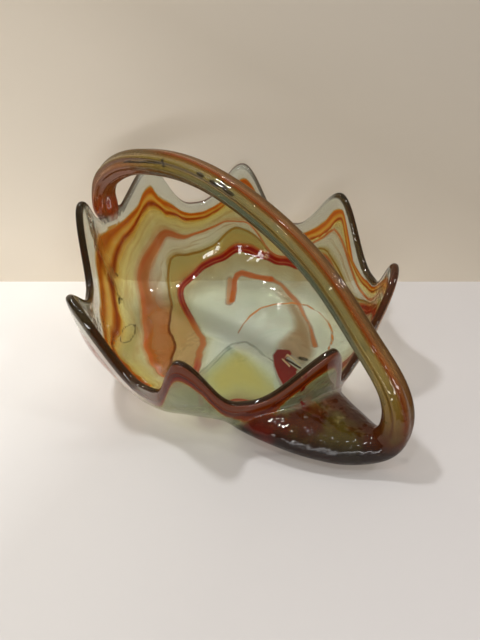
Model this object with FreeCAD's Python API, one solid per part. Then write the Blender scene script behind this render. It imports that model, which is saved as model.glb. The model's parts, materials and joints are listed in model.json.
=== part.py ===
import FreeCAD, Part
import math
import os

# Glass basket, blown and pulled in one piece, in millimetres.
# The bubble was opened into a low bowl whose lip was ruffled into eight points and eight
# swags. One side of its foot was drawn out into a thick tail that lies on the table, turns
# up and swings over the bowl as a ribbed handle, and its end is pressed on the far lip.
# Origin: in the flat underside, below the middle of the lip. +Z is up, and +X runs below
# the handle, from its pressed-on end towards the tail.

# Bowl
WALL = 5.0                      # glass at the side
FLOOR = 8.0                     # glass at the bottom
THIN_BY = 0.35                  # share of the way to the lip where the floor has thinned to the wall
FOOT_RADIUS = 74.0              # flat underside
FOOT_X = 0.0
FOOT_Y = 9.0
BELLY = 0.62                    # how far the bottom runs out before the side rises, of the whole way
SIDE_RISE = 0.62                # how steeply the side meets the lip, of its height
SWAG_FLARE = 2.0                # outward lean of the side below a swag
POINT_FLARE = 5.0               # and below a point

# Lip
LIP_HEIGHT = 119.5              # plane of the points, above the origin
LIP_TILT = 12.7                 # degrees, down towards LIP_DOWN
LIP_DOWN = -28.0                # degrees from +X
LIP_BEAD = 3.4                  # radius of the fire-polished edge
BEAD_FROM = 0.85                # share of the way to the lip where the side starts to swell to it
LOBES = 8
FIRST_POINT = 31.5              # degrees from +X
POINT_RADIUS = 139.0
SWAG_RADIUS = 129.0
SWAG_DEPTH = 56.0               # below the plane of the points
POINT_SHARPNESS = 1.5           # 1 gives a plain wave, more gives narrow points

# Each point and swag was pulled by hand: turn in degrees, outward and up in millimetres
POINT_PULL = ((0.5, 5, 3), (1, -2.5, -2), (3.5, -5, -10), (1, -3, -6),
              (-3.5, -6, 3), (-0.5, 2, 0), (-3.5, 0, 2), (-1, 0, 0))
SWAG_PULL = ((-1, 13, 4), (3, 1, -3), (3, 6, 1), (-1, 13, 15),
             (-4, -6, 7), (4, -4, 2), (-7, -5, 8), (-9, -3, -5))
# How broad each point is, towards the swag before it and towards the swag after it
POINT_BREADTH = ((2.2, 1), (1, 1), (1, 1), (1, 1), (1, 1), (1, 1), (1, 1), (1, 1.5))

# Tail and handle: stations along the glass, from the foot of the bowl to the far lip. Each
# gives what it is measured from, the middle of the section, and its half width and half height.
FOOT_EDGE = "foot edge"         # the edge of the flat underside, straight below the handle's side
MIDDLE = "middle"               # the origin
FAR_LIP = "far lip"             # the lowest place of the swag that holds the handle
HANDLE_SWAG_NUMBER = 3          # counted from the swag after the first point
TAIL_AND_HANDLE = (
    (FOOT_EDGE, (-14, -47, 22), 49, 24),        # drawn from the foot
    (FOOT_EDGE, (18, -48, 22), 47, 23),
    (FOOT_EDGE, (52, -47, 19), 39, 19),         # tail on the table
    (FOOT_EDGE, (84, -43, 16), 27, 16),
    (FOOT_EDGE, (109, -37, 23), 13.5, 13),      # turn upwards
    (MIDDLE, (188, -22, 47), 11.5, 11.5),
    (MIDDLE, (155, -16, 91), 10.5, 10.5),
    (MIDDLE, (108, -15, 134), 10, 10),
    (MIDDLE, (39, -15, 169), 10, 10),
    (MIDDLE, (-25, -15, 181), 10, 10),          # top of the handle
    (MIDDLE, (-76, -15, 176), 10.5, 10.5),
    (MIDDLE, (-127, -15, 156), 10.5, 10.5),
    (FAR_LIP, (-7, 4, 26), 10.5, 10.5),
    (FAR_LIP, (-4, 2, 8), 12.5, 10.5),
    (FAR_LIP, (2, 1, -4), 9, 5),                # pressed on the lip
)
RIBS = 8
RIB_DEPTH = 0.9
RIBS_START = 0.32               # share of the stations where the ribs come out of the smooth tail
RIBS_END = 0.40
RIB_TWIST = 50.0                # degrees from the tail to the far lip

# Throat: the hollow left where the bubble's own air was drawn into the tail
THROAT_MOUTH = (10, -43, 24)    # from the foot's edge
THROAT_TIP = (66, -45, 18)
THROAT_RADIUS = 12.0
THROAT_TIP_RADIUS = 2.5

# Drawing resolution
STEPS_TO_SWAG = 6               # steps from a point of the lip to the next swag
STEP_CROWDING = 1.15            # 1 spaces them evenly, more crowds them at the points
SIDE_STEPS = 6
BEAD_STEPS = 4
SECTIONS = 40
POINTS_PER_RIB = 4


def polar(radius, azimuth, height=0.0):
    angle = math.radians(azimuth)
    return FreeCAD.Vector(radius * math.cos(angle), radius * math.sin(angle), height)


def blend(low, high, share):
    return low + (high - low) * share


def smooth_step(share):
    share = min(max(share, 0.0), 1.0)
    return share * share * (3 - 2 * share)


def lip_plane(point):
    """Height of the tilted plane of the lip's points over a place in plan."""
    slope = math.tan(math.radians(LIP_TILT))
    down = polar(1.0, LIP_DOWN)
    return LIP_HEIGHT - slope * (point.x * down.x + point.y * down.y)


def lip_place(azimuth, radius, rise):
    place = polar(radius, azimuth)
    return azimuth, radius, lip_plane(place) + rise


def point_place(lobe):
    turn, out, up = POINT_PULL[lobe % LOBES]
    return lip_place(FIRST_POINT + lobe * 360.0 / LOBES + turn, POINT_RADIUS + out, up)


def swag_place(lobe):
    turn, out, up = SWAG_PULL[lobe % LOBES]
    azimuth = FIRST_POINT + (lobe + 0.5) * 360.0 / LOBES + turn
    return lip_place(azimuth, SWAG_RADIUS + out, up - SWAG_DEPTH)


def lip_stations():
    """Middle of the lip all round: place, azimuth and 1 at a point, 0 at a swag."""
    stations = []
    for half in range(2 * LOBES):
        lobe = half // 2
        swag = swag_place(lobe)
        point = point_place(lobe + half % 2)
        breadth = POINT_BREADTH[(lobe + half % 2) % LOBES][1 - half % 2]
        for step in range(STEPS_TO_SWAG):
            share = step / STEPS_TO_SWAG
            if half % 2 == 0:
                share = 1 - share
            to_point = 1 - (1 - share) ** STEP_CROWDING
            peak = (0.5 - 0.5 * math.cos(math.pi * to_point)) ** (POINT_SHARPNESS / breadth)
            azimuth = blend(swag[0], point[0], to_point)
            radius = blend(swag[1], point[1], peak)
            height = blend(swag[2], point[2], peak)
            stations.append((polar(radius, azimuth, height), azimuth, peak))
    return stations


def side_curve(station):
    """Middle of the glass from the foot to the lip, as a Bezier curve in one upright plane."""
    lip, azimuth, peak = station
    foot = FreeCAD.Vector(FOOT_X, FOOT_Y, FLOOR / 2) + polar(FOOT_RADIUS, azimuth)
    outward = FreeCAD.Vector(lip.x - foot.x, lip.y - foot.y, 0)
    below = lip - polar(blend(SWAG_FLARE, POINT_FLARE, peak), azimuth)
    below.z = FLOOR / 2 + (lip.z - FLOOR / 2) * (1 - SIDE_RISE)
    curve = Part.BezierCurve()
    curve.setPoles([foot, foot + outward * BELLY, below, lip])
    return curve


def skin_point(curve, share, side):
    """Point of the outer (side 1) or inner (side -1) skin at a share of the way to the lip."""
    middle = curve.value(share)
    along = curve.tangent(share)[0]
    level = FreeCAD.Vector(along.x, along.y, 0).normalize()
    slope = FreeCAD.Vector(along.dot(level), 0, along.z).normalize()
    outward = level * slope.z - FreeCAD.Vector(0, 0, slope.x)
    wall = blend(FLOOR, WALL, smooth_step(share / THIN_BY))
    swell = smooth_step((share - BEAD_FROM) / (1 - BEAD_FROM))
    return middle + outward * blend(wall / 2, LIP_BEAD, swell) * side


def bead_point(curve, quarter):
    """Point of the rounded lip edge, from the outer skin (0) over the top (1) to the inner (2)."""
    angle = math.radians(90.0 * quarter)
    edge = curve.value(1.0)
    outward = (skin_point(curve, 1.0, 1) - edge) * math.cos(angle)
    return edge + outward + curve.tangent(1.0)[0] * LIP_BEAD * math.sin(angle)


def solid_through(rings):
    """Solid whose skin runs in small facets from ring to ring and is closed flat at both ends."""
    count = len(rings[0])
    points = [point for ring in rings for point in ring]
    facets = []
    for row in range(len(rings) - 1):
        for column in range(count):
            here = row * count + column
            beside = row * count + (column + 1) % count
            facets.append((here, beside, beside + count))
            facets.append((here, beside + count, here + count))
    skin = Part.Shape()
    skin.makeShapeFromMesh((points, facets), 0.001)
    ends = [Part.Face(Part.makePolygon(ring + ring[:1])) for ring in (rings[0], rings[-1])]
    shell = Part.Shell(skin.Faces + ends)
    shell.sewShape()
    solid = Part.Solid(shell)
    if solid.Volume < 0:
        solid.reverse()
    return solid


def side_shares():
    return [step / SIDE_STEPS for step in range(SIDE_STEPS)]


def bowl():
    """Outer skin up, over the lip and down the inner skin, closed by the foot and the floor."""
    curves = [side_curve(station) for station in lip_stations()]
    rings = [[skin_point(curve, share, 1) for curve in curves] for share in side_shares()]
    for step in range(BEAD_STEPS + 1):
        rings.append([bead_point(curve, 2 * step / BEAD_STEPS) for curve in curves])
    for share in reversed(side_shares()):
        rings.append([skin_point(curve, share, -1) for curve in curves])
    return solid_through(rings)


def hollow():
    """Room inside the bowl, domed over the lip, for trimming the root of the tail."""
    stations = lip_stations()
    curves = [side_curve(station) for station in stations]
    rings = [[skin_point(curve, share, -1) for curve in curves] for share in side_shares() + [1.0]]
    rings.append([polar(FOOT_RADIUS / 2, azimuth, LIP_HEIGHT) for lip, azimuth, peak in stations])
    return solid_through(rings)


def place_from(anchor, offset):
    """Place given from the edge of the foot, from the middle or from the far lip."""
    azimuth, radius, height = swag_place(HANDLE_SWAG_NUMBER)
    start = {FOOT_EDGE: FreeCAD.Vector(FOOT_X + FOOT_RADIUS, FOOT_Y, 0),
             MIDDLE: FreeCAD.Vector(0, 0, 0),
             FAR_LIP: polar(radius, azimuth, height)}
    return start[anchor] + FreeCAD.Vector(*offset)


def path_places():
    return [place_from(anchor, offset) for anchor, offset, half_width, half_height in TAIL_AND_HANDLE]


def half_sizes(position):
    """Half width and half height at a position counted in stations, changing without a kink."""
    last = len(TAIL_AND_HANDLE) - 1
    start = min(int(position), last - 1)
    share = position - start
    near = [TAIL_AND_HANDLE[min(max(start + step, 0), last)] for step in (-1, 0, 1, 2)]
    sizes = []
    for column in (2, 3):
        before, here, after, beyond = [station[column] for station in near]
        leave, arrive = (after - before) / 2, (beyond - here) / 2
        bend = blend(leave - (after - here), (after - here) - arrive, share)
        sizes.append(blend(here, after, share) + share * (1 - share) * bend)
    return sizes


def glass_section(curve, numbers, index):
    """Closed ribbed section of the tail or handle, square to its path."""
    share = index / (SECTIONS - 1)
    position = share * (len(TAIL_AND_HANDLE) - 1)
    before = min(int(position), len(TAIL_AND_HANDLE) - 2)
    parameter = blend(numbers[before], numbers[before + 1], position - before)
    middle = curve.value(parameter)
    along = curve.tangent(parameter)[0]
    across = (FreeCAD.Vector(0, 1, 0) - along * along.y).normalize()
    upward = along.cross(across)
    half_width, half_height = half_sizes(position)
    ribs = RIB_DEPTH * smooth_step((share - RIBS_START) / (RIBS_END - RIBS_START))
    points = []
    for number in range(RIBS * POINTS_PER_RIB):
        angle = 2 * math.pi * number / (RIBS * POINTS_PER_RIB)
        rib = ribs * math.cos(RIBS * angle)
        turned = angle + math.radians(RIB_TWIST) * share
        points.append(middle + across * (half_width + rib) * math.cos(turned)
                      + upward * (half_height + rib) * math.sin(turned))
    return points


def tail_and_handle():
    curve = Part.BSplineCurve()
    curve.interpolate(path_places())
    numbers = [curve.parameter(place) for place in path_places()]
    return solid_through([glass_section(curve, numbers, index) for index in range(SECTIONS)])


def throat():
    mouth = place_from(FOOT_EDGE, THROAT_MOUTH)
    tip = place_from(FOOT_EDGE, THROAT_TIP)
    return Part.makeCone(THROAT_RADIUS, THROAT_TIP_RADIUS, (tip - mouth).Length, mouth, tip - mouth)


def basket():
    reach = 4 * POINT_RADIUS
    above_table = Part.makeBox(2 * reach, 2 * reach, reach, FreeCAD.Vector(-reach, -reach, 0))
    below_lip = Part.makeBox(reach, 2 * reach, LIP_HEIGHT - SWAG_DEPTH, FreeCAD.Vector(0, -reach, 0))
    handle = tail_and_handle().cut(hollow().common(below_lip))
    return bowl().fuse(handle).cut(throat()).common(above_table)


os.makedirs("parts", exist_ok=True)
basket_shape = basket()
basket_shape.exportStep("parts/basket.step")
print("basket: solids", len(basket_shape.Solids), "valid", basket_shape.isValid(),
      "volume cm3", round(basket_shape.Volume / 1000, 1), "size mm",
      round(basket_shape.BoundBox.XLength, 1), round(basket_shape.BoundBox.YLength, 1),
      round(basket_shape.BoundBox.ZLength, 1))
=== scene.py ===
# %% [markdown]
# # A blown glass basket
# The basket is one piece of glass. A bubble was opened into a low bowl, its lip was ruffled into
# eight points, and a side of the foot was pulled out into a tail that swings over the bowl as a
# handle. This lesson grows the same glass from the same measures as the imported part, joins bowl and
# handle, and then lays the coloured streaks into it.

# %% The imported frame
import json
import math
import bpy
import bmesh
import numpy as np
from mathutils import Euler, Matrix, Vector
from mathutils.bvhtree import BVHTree
from mathutils.kdtree import KDTree

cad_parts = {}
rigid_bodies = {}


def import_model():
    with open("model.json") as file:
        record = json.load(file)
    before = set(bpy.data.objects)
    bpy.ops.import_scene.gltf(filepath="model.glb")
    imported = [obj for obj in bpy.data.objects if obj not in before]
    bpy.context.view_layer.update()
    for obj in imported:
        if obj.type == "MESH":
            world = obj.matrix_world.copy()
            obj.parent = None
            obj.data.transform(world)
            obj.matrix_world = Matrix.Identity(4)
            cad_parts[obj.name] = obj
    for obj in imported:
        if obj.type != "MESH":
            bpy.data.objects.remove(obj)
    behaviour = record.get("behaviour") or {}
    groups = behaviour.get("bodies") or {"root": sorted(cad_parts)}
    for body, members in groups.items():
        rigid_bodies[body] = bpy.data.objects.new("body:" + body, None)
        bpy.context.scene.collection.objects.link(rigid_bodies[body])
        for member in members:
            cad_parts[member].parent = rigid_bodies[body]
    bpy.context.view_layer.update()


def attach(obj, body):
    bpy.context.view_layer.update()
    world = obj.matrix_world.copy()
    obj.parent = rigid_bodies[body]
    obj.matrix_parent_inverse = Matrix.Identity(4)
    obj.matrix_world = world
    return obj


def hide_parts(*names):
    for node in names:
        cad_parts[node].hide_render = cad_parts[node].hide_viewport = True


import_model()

# %% [markdown]
# ## The camera
# The photograph looks down on the basket from the front at 36 degrees. The camera comes first,
# because the streaks are later placed by looking through it.

# %% Camera
PHOTO_WIDTH = 480
PHOTO_HEIGHT = 640
FOCAL_PIXELS = 553.0
CAMERA_PLACE = Vector((0.2883, -0.3143, 0.3454))
CAMERA_TURN = Euler((math.radians(54.0), 0.0, math.radians(41.0)))


def in_scene(name, data):
    """New object with these data, linked to the scene."""
    thing = bpy.data.objects.new(name, data)
    bpy.context.scene.collection.objects.link(thing)
    return thing


camera_data = bpy.data.cameras.new("photo_camera")
camera_data.sensor_fit = "VERTICAL"
camera_data.sensor_height = 36.0
camera_data.lens = 36.0 * FOCAL_PIXELS / PHOTO_HEIGHT
camera_data.clip_start = 0.01
camera = in_scene("photo_camera", camera_data)
camera.location = CAMERA_PLACE
camera.rotation_euler = CAMERA_TURN
bpy.context.scene.camera = camera
print("lens mm", round(camera_data.lens, 2))


def sight_line(pixel_x, pixel_y):
    """Direction from the camera through a place in the 480 x 640 photograph."""
    flat = Vector((pixel_x - PHOTO_WIDTH / 2, PHOTO_HEIGHT / 2 - pixel_y, -FOCAL_PIXELS))
    return (CAMERA_TURN.to_matrix() @ flat).normalized()


# %% [markdown]
# ## The measures
# These are the maker's measures, in millimetres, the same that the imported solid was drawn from: the
# foot, the wall, the lip with its eight points and swags, and the stations of the tail and handle.

# %% Measures
MM = 0.001
WALL, FLOOR, THIN_BY = 5.0, 8.0, 0.35
FOOT_RADIUS, FOOT_X, FOOT_Y = 74.0, 0.0, 9.0
BELLY, SIDE_RISE, SWAG_FLARE, POINT_FLARE = 0.62, 0.62, 2.0, 5.0
LIP_HEIGHT, LIP_TILT, LIP_DOWN = 119.5, 12.7, -28.0
LIP_BEAD, BEAD_FROM = 3.4, 0.85
LOBES, FIRST_POINT = 8, 31.5
POINT_RADIUS, SWAG_RADIUS, SWAG_DEPTH = 139.0, 129.0, 56.0
POINT_SHARPNESS, STEP_CROWDING = 1.5, 1.15
POINT_PULL = ((0.5, 5, 3), (1, -2.5, -2), (3.5, -5, -10), (1, -3, -6),
              (-3.5, -6, 3), (-0.5, 2, 0), (-3.5, 0, 2), (-1, 0, 0))
SWAG_PULL = ((-1, 13, 4), (3, 1, -3), (3, 6, 1), (-1, 13, 15),
             (-4, -6, 7), (4, -4, 2), (-7, -5, 8), (-9, -3, -5))
POINT_BREADTH = ((2.2, 1), (1, 1), (1, 1), (1, 1), (1, 1), (1, 1), (1, 1), (1, 1.5))
HANDLE_SWAG = 3
TAIL_AND_HANDLE = (
    ("foot edge", (-14, -47, 22), 49, 24),
    ("foot edge", (18, -48, 22), 47, 23),
    ("foot edge", (52, -47, 19), 39, 19),
    ("foot edge", (84, -43, 16), 27, 16),
    ("foot edge", (109, -37, 23), 13.5, 13),
    ("middle", (188, -22, 47), 11.5, 11.5),
    ("middle", (155, -16, 91), 10.5, 10.5),
    ("middle", (108, -15, 134), 10, 10),
    ("middle", (39, -15, 169), 10, 10),
    ("middle", (-25, -15, 181), 10, 10),
    ("middle", (-76, -15, 176), 10.5, 10.5),
    ("middle", (-127, -15, 156), 10.5, 10.5),
    ("far lip", (-7, 4, 26), 10.5, 10.5),
    ("far lip", (-4, 2, 8), 12.5, 10.5),
    ("far lip", (2, 1, -4), 9, 5),
)
RIBS, RIB_DEPTH, RIBS_START, RIBS_END, RIB_TWIST = 8, 0.9, 0.32, 0.40, 50.0
THROAT_MOUTH, THROAT_TIP = (10, -43, 24), (66, -45, 18)
THROAT_RADIUS, THROAT_TIP_RADIUS = 12.0, 2.5


def smooth_step(share):
    share = np.clip(share, 0.0, 1.0)
    return share * share * (3 - 2 * share)


def lip_place(azimuth, radius, rise):
    """Azimuth in degrees, radius and height of a place on the lip; the lip's plane is tilted."""
    slope = math.tan(math.radians(LIP_TILT))
    lean = slope * radius * math.cos(math.radians(azimuth - LIP_DOWN))
    return azimuth, radius, LIP_HEIGHT - lean + rise


def point_place(lobe):
    turn, out, up = POINT_PULL[lobe % LOBES]
    return lip_place(FIRST_POINT + lobe * 360.0 / LOBES + turn, POINT_RADIUS + out, up)


def swag_place(lobe):
    turn, out, up = SWAG_PULL[lobe % LOBES]
    return lip_place(FIRST_POINT + (lobe + 0.5) * 360.0 / LOBES + turn, SWAG_RADIUS + out, up - SWAG_DEPTH)


# %% [markdown]
# ## The lip
# A glass-maker shapes the ruffle by hand, so each point and swag is pulled a little differently.
# Here the lip is drawn first, as one ring of places that runs from point to swag and back.

# %% The ring of the lip
STEPS_TO_SWAG = 25


def lip_ring():
    """Places of the lip all round, with their azimuth and how near each is to a point (1)."""
    places, azimuths, peaks = [], [], []
    for half in range(2 * LOBES):
        lobe = half // 2
        swag, point = swag_place(lobe), point_place(lobe + half % 2)
        breadth = POINT_BREADTH[(lobe + half % 2) % LOBES][1 - half % 2]
        for step in range(STEPS_TO_SWAG):
            share = step / STEPS_TO_SWAG
            share = 1 - share if half % 2 == 0 else share
            to_point = 1 - (1 - share) ** STEP_CROWDING
            peak = (0.5 - 0.5 * math.cos(math.pi * to_point)) ** (POINT_SHARPNESS / breadth)
            azimuth = math.radians(swag[0] + (point[0] - swag[0]) * to_point)
            radius = swag[1] + (point[1] - swag[1]) * peak
            height = swag[2] + (point[2] - swag[2]) * peak
            places.append((radius * math.cos(azimuth) * MM, radius * math.sin(azimuth) * MM, height * MM))
            azimuths.append(azimuth)
            peaks.append(peak)
    return places, azimuths, peaks


def mesh_object(name, places, faces=(), edges=()):
    mesh = bpy.data.meshes.new(name)
    mesh.from_pydata([tuple(place) for place in places], list(edges), list(faces))
    return in_scene(name, mesh)


def keep_numbers(mesh, name, numbers):
    """Stores one number for each vertex under a name that node trees can read."""
    if name in mesh.attributes:
        mesh.attributes.remove(mesh.attributes[name])
    store = mesh.attributes.new(name, "FLOAT", "POINT")
    store.data.foreach_set("value", np.asarray(numbers, np.float32).ravel())


lip_places, lip_azimuths, lip_peaks = lip_ring()
COLUMNS = len(lip_places)
bowl_piece = mesh_object("basket_bowl", lip_places,
                         edges=[(step, (step + 1) % COLUMNS) for step in range(COLUMNS)])
keep_numbers(bowl_piece.data, "azimuth", lip_azimuths)
keep_numbers(bowl_piece.data, "peak", lip_peaks)
print("lip places", COLUMNS)

# %% [markdown]
# ## Helpers for node trees
# Short words keep the trees readable. Each adds a node to the tree that lies on the bench, feeds its
# sockets with numbers or links, and gives back its output.

# %% Node helpers
class Bench:
    """Holds the node tree that is being built."""
    tree = None


def add_node(kind, **choices):
    node = Bench.tree.nodes.new(kind)
    for name, value in choices.items():
        setattr(node, name, value)
    return node


def feed(socket, value):
    if isinstance(value, bpy.types.NodeSocket):
        Bench.tree.links.new(value, socket)
    elif value is not None:
        socket.default_value = value


def made(kind, inputs, out=0, **choices):
    """Adds a node with its choices, feeds its inputs by name or number, and returns an output."""
    node = add_node(kind, **choices)
    for socket, value in inputs.items():
        feed(node.inputs[socket], value)
    return node.outputs[out]


def reckon(operation, *values, clamp=False):
    return made("ShaderNodeMath", dict(enumerate(values)), operation=operation, use_clamp=clamp)


def plus(first, second):
    return reckon("ADD", first, second)


def minus(first, second):
    return reckon("SUBTRACT", first, second)


def times(first, second):
    return reckon("MULTIPLY", first, second)


def over(first, second, clamp=False):
    return reckon("DIVIDE", first, second, clamp=clamp)


def times_plus(first, second, third):
    return reckon("MULTIPLY_ADD", first, second, third)


def steer(operation, first, second=None):
    """Vector math; a dot product gives a number, the rest give a vector."""
    out = 1 if operation == "DOT_PRODUCT" else 0
    return made("ShaderNodeVectorMath", {0: first, 1: second}, out, operation=operation)


def scaled(vector, amount):
    return made("ShaderNodeVectorMath", {0: vector, 3: amount}, operation="SCALE")


def ahead(place, vector, amount):
    """The place, moved along a vector by an amount of its length."""
    return steer("ADD", place, scaled(vector, amount))


def apart(end, start):
    return steer("SUBTRACT", end, start)


def height_of(vector):
    return steer("DOT_PRODUCT", vector, (0.0, 0.0, 1.0))


def level_part(vector):
    return steer("MULTIPLY", vector, (1.0, 1.0, 0.0))


def vector_of(x, y, z):
    return made("ShaderNodeCombineXYZ", {0: x, 1: y, 2: z})


def ease(value, low, high, start=0.0, end=1.0):
    """Smooth change from start to end while the value goes from low to high."""
    return made("ShaderNodeMapRange", {0: value, 1: low, 2: high, 3: start, 4: end},
                interpolation_type="SMOOTHSTEP")


def new_recipe(name, numbers):
    """Lays a new geometry tree on the bench, with one named input for each number."""
    Bench.tree = bpy.data.node_groups.new(name, "GeometryNodeTree")
    new_socket = Bench.tree.interface.new_socket
    new_socket("Geometry", in_out="INPUT", socket_type="NodeSocketGeometry")
    for label, value in numbers.items():
        kind = "NodeSocketInt" if isinstance(value, int) else "NodeSocketFloat"
        new_socket(label, in_out="INPUT", socket_type=kind)
    new_socket("Geometry", in_out="OUTPUT", socket_type="NodeSocketGeometry")
    return {socket.name: socket for socket in add_node("NodeGroupInput").outputs}


def read_from(geometry, index, name, kind="FLOAT"):
    """Reads a named number or vector of the given geometry, or its position, at an index."""
    if name == "position":
        value = made("GeometryNodeInputPosition", {})
    else:
        value = made("GeometryNodeInputNamedAttribute", {"Name": name}, "Attribute", data_type=kind)
    return made("GeometryNodeSampleIndex", {"Geometry": geometry, "Value": value, "Index": index},
                data_type=kind)


def grid_of(columns, rows):
    """A grid of places, with each place's column and row."""
    mesh = made("GeometryNodeMeshGrid", {"Vertices X": columns, "Vertices Y": rows}, "Mesh")
    index = made("GeometryNodeInputIndex", {})
    return mesh, reckon("FLOOR", over(index, rows)), reckon("MODULO", index, rows)


def finish_recipe(mesh, places, keeps):
    """Moves the grid to its places, stores the named numbers, and ends the tree."""
    flow = made("GeometryNodeSetPosition", {"Geometry": mesh, "Position": places})
    for name, value in keeps.items():
        flow = made("GeometryNodeStoreNamedAttribute", {"Geometry": flow, "Name": name, "Value": value})
    flow = made("GeometryNodeRealizeInstances", {0: flow})
    flow = made("GeometryNodeSetMaterial", {"Geometry": flow, "Material": glass})
    feed(add_node("NodeGroupOutput").inputs[0], flow)
    return Bench.tree


def plain_mesh(thing):
    """New mesh, as the thing's modifiers leave it."""
    return bpy.data.meshes.new_from_object(thing.evaluated_get(bpy.context.evaluated_depsgraph_get()))


def grow(piece, tree, numbers):
    """Runs the tree on a piece with its named inputs and keeps the result as a plain mesh."""
    modifier = piece.modifiers.new(tree.name, "NODES")
    modifier.node_group = tree
    for item in tree.interface.items_tree:
        if item.in_out == "INPUT" and item.name in numbers:
            modifier[item.identifier] = numbers[item.name]
    grown = plain_mesh(piece)
    piece.modifiers.remove(modifier)
    piece.data = grown


glass = bpy.data.materials.new("streaked_glass")
glass.use_nodes = True

# %% [markdown]
# ## The bowl
# The wall follows a rule: from the foot it runs out as a belly, turns up and leans out to the lip.
# Geometry Nodes apply that rule to every place of the lip at once. A grid has a column for each
# place of the lip, and its rows run from the middle of the underside up the outer skin, round the
# fire-polished bead, and down the inner skin to the middle of the floor.

# %% The recipe of the bowl
BOWL_NUMBERS = {
    "Columns": COLUMNS, "Disc Rows": 30, "Side Rows": 44, "Bead Rows": 10,
    "Foot Radius": FOOT_RADIUS * MM, "Foot X": FOOT_X * MM, "Foot Y": FOOT_Y * MM,
    "Floor": FLOOR * MM, "Wall": WALL * MM, "Thin By": THIN_BY,
    "Belly": BELLY, "Side Rise": SIDE_RISE,
    "Swag Flare": SWAG_FLARE * MM, "Point Flare": POINT_FLARE * MM,
    "Bead Radius": LIP_BEAD * MM, "Bead From": BEAD_FROM,
}


def bowl_recipe():
    given = new_recipe("bowl_wall", BOWL_NUMBERS)
    disc, side, bead = given["Disc Rows"], given["Side Rows"], given["Bead Rows"]
    last = times_plus(plus(disc, side), 2.0, bead)
    mesh, column, row = grid_of(plus(given["Columns"], 1.0), plus(last, 1.0))
    column = reckon("MODULO", column, given["Columns"])
    lip = read_from(given["Geometry"], column, "position", "FLOAT_VECTOR")
    azimuth = read_from(given["Geometry"], column, "azimuth")
    peak = read_from(given["Geometry"], column, "peak")

    from_end = reckon("MINIMUM", row, minus(last, row))
    on_disc = over(from_end, disc, clamp=True)
    share = over(minus(from_end, disc), side, clamp=True)
    round_bead = over(minus(minus(row, disc), side), bead, clamp=True)
    angle = times(round_bead, math.pi)

    middle = vector_of(given["Foot X"], given["Foot Y"], times(given["Floor"], 0.5))
    ray = vector_of(reckon("COSINE", azimuth), reckon("SINE", azimuth), 0.0)
    foot = ahead(middle, ray, given["Foot Radius"])
    belly = ahead(foot, level_part(apart(lip, foot)), given["Belly"])
    flare = times_plus(minus(given["Point Flare"], given["Swag Flare"]), peak, given["Swag Flare"])
    drop = vector_of(0.0, 0.0, times(height_of(apart(lip, foot)), given["Side Rise"]))
    below = apart(apart(lip, scaled(ray, flare)), drop)

    rest = minus(1.0, share)
    rest_squared, share_squared = reckon("POWER", rest, 2.0), reckon("POWER", share, 2.0)
    curve = scaled(foot, reckon("POWER", rest, 3.0))
    for pole, weight in ((belly, times(times(rest_squared, share), 3.0)),
                         (below, times(times(share_squared, rest), 3.0)),
                         (lip, reckon("POWER", share, 3.0))):
        curve = ahead(curve, pole, weight)
    along = scaled(apart(belly, foot), rest_squared)
    along = ahead(along, apart(below, belly), times(times(rest, share), 2.0))
    along = steer("NORMALIZE", ahead(along, apart(lip, below), share_squared))
    level = steer("NORMALIZE", level_part(along))
    lean = vector_of(0.0, 0.0, steer("DOT_PRODUCT", along, level))
    outward = apart(scaled(level, height_of(along)), lean)

    thin = ease(share, 0.0, given["Thin By"])
    wall = times_plus(minus(given["Wall"], given["Floor"]), thin, given["Floor"])
    half = times(wall, 0.5)
    swell = ease(share, given["Bead From"], 1.0)
    half = times_plus(minus(given["Bead Radius"], half), swell, half)
    place = ahead(curve, outward, times(half, reckon("COSINE", angle)))
    place = ahead(place, along, times(given["Bead Radius"], reckon("SINE", angle)))
    place = ahead(place, level_part(apart(middle, place)), minus(1.0, on_disc))
    return finish_recipe(mesh, place, {"inner": round_bead})


grow(bowl_piece, bowl_recipe(), BOWL_NUMBERS)
BOWL_ROWS = 2 * (BOWL_NUMBERS["Disc Rows"] + BOWL_NUMBERS["Side Rows"]) + BOWL_NUMBERS["Bead Rows"] + 1
print("bowl grid", COLUMNS + 1, "by", BOWL_ROWS, "has", len(bowl_piece.data.vertices), "places")

# %% [markdown]
# The grid still knows its rows and columns, so for every place the one straight across the wall, on
# the inner skin, can be read off. Streaks are measured there, and both skins then carry them.

# %% Reading the grid
def vertex_array(mesh):
    flat = np.empty(len(mesh.vertices) * 3)
    mesh.vertices.foreach_get("co", flat)
    return flat.reshape(-1, 3)


def number_array(mesh, name):
    flat = np.empty(len(mesh.vertices))
    mesh.attributes[name].data.foreach_get("value", flat)
    return flat


bowl_places = vertex_array(bowl_piece.data)
bowl_grid = bowl_places.reshape(COLUMNS + 1, BOWL_ROWS, 3)
bowl_inner = number_array(bowl_piece.data, "inner")
rows = np.arange(BOWL_ROWS)
inner_rows = np.maximum(rows, BOWL_ROWS - 1 - rows)
bowl_home = bowl_grid[:, inner_rows, :].reshape(-1, 3)


def millimetres_below_lip():
    """For every place of the grid, how far down the inner skin it lies from the lip, in millimetres."""
    steps = np.linalg.norm(np.diff(bowl_grid, axis=1), axis=2) / MM
    top = BOWL_ROWS - 1 - BOWL_NUMBERS["Disc Rows"] - BOWL_NUMBERS["Side Rows"]
    run = np.concatenate((np.zeros((len(bowl_grid), 1)), np.cumsum(steps, axis=1)), axis=1)
    down = np.maximum(run - run[:, top:top + 1], 0)
    return down[:, inner_rows].reshape(-1)


bowl_down = millimetres_below_lip()
print("longest way down, mm", round(float(bowl_down.max()), 1))


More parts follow.
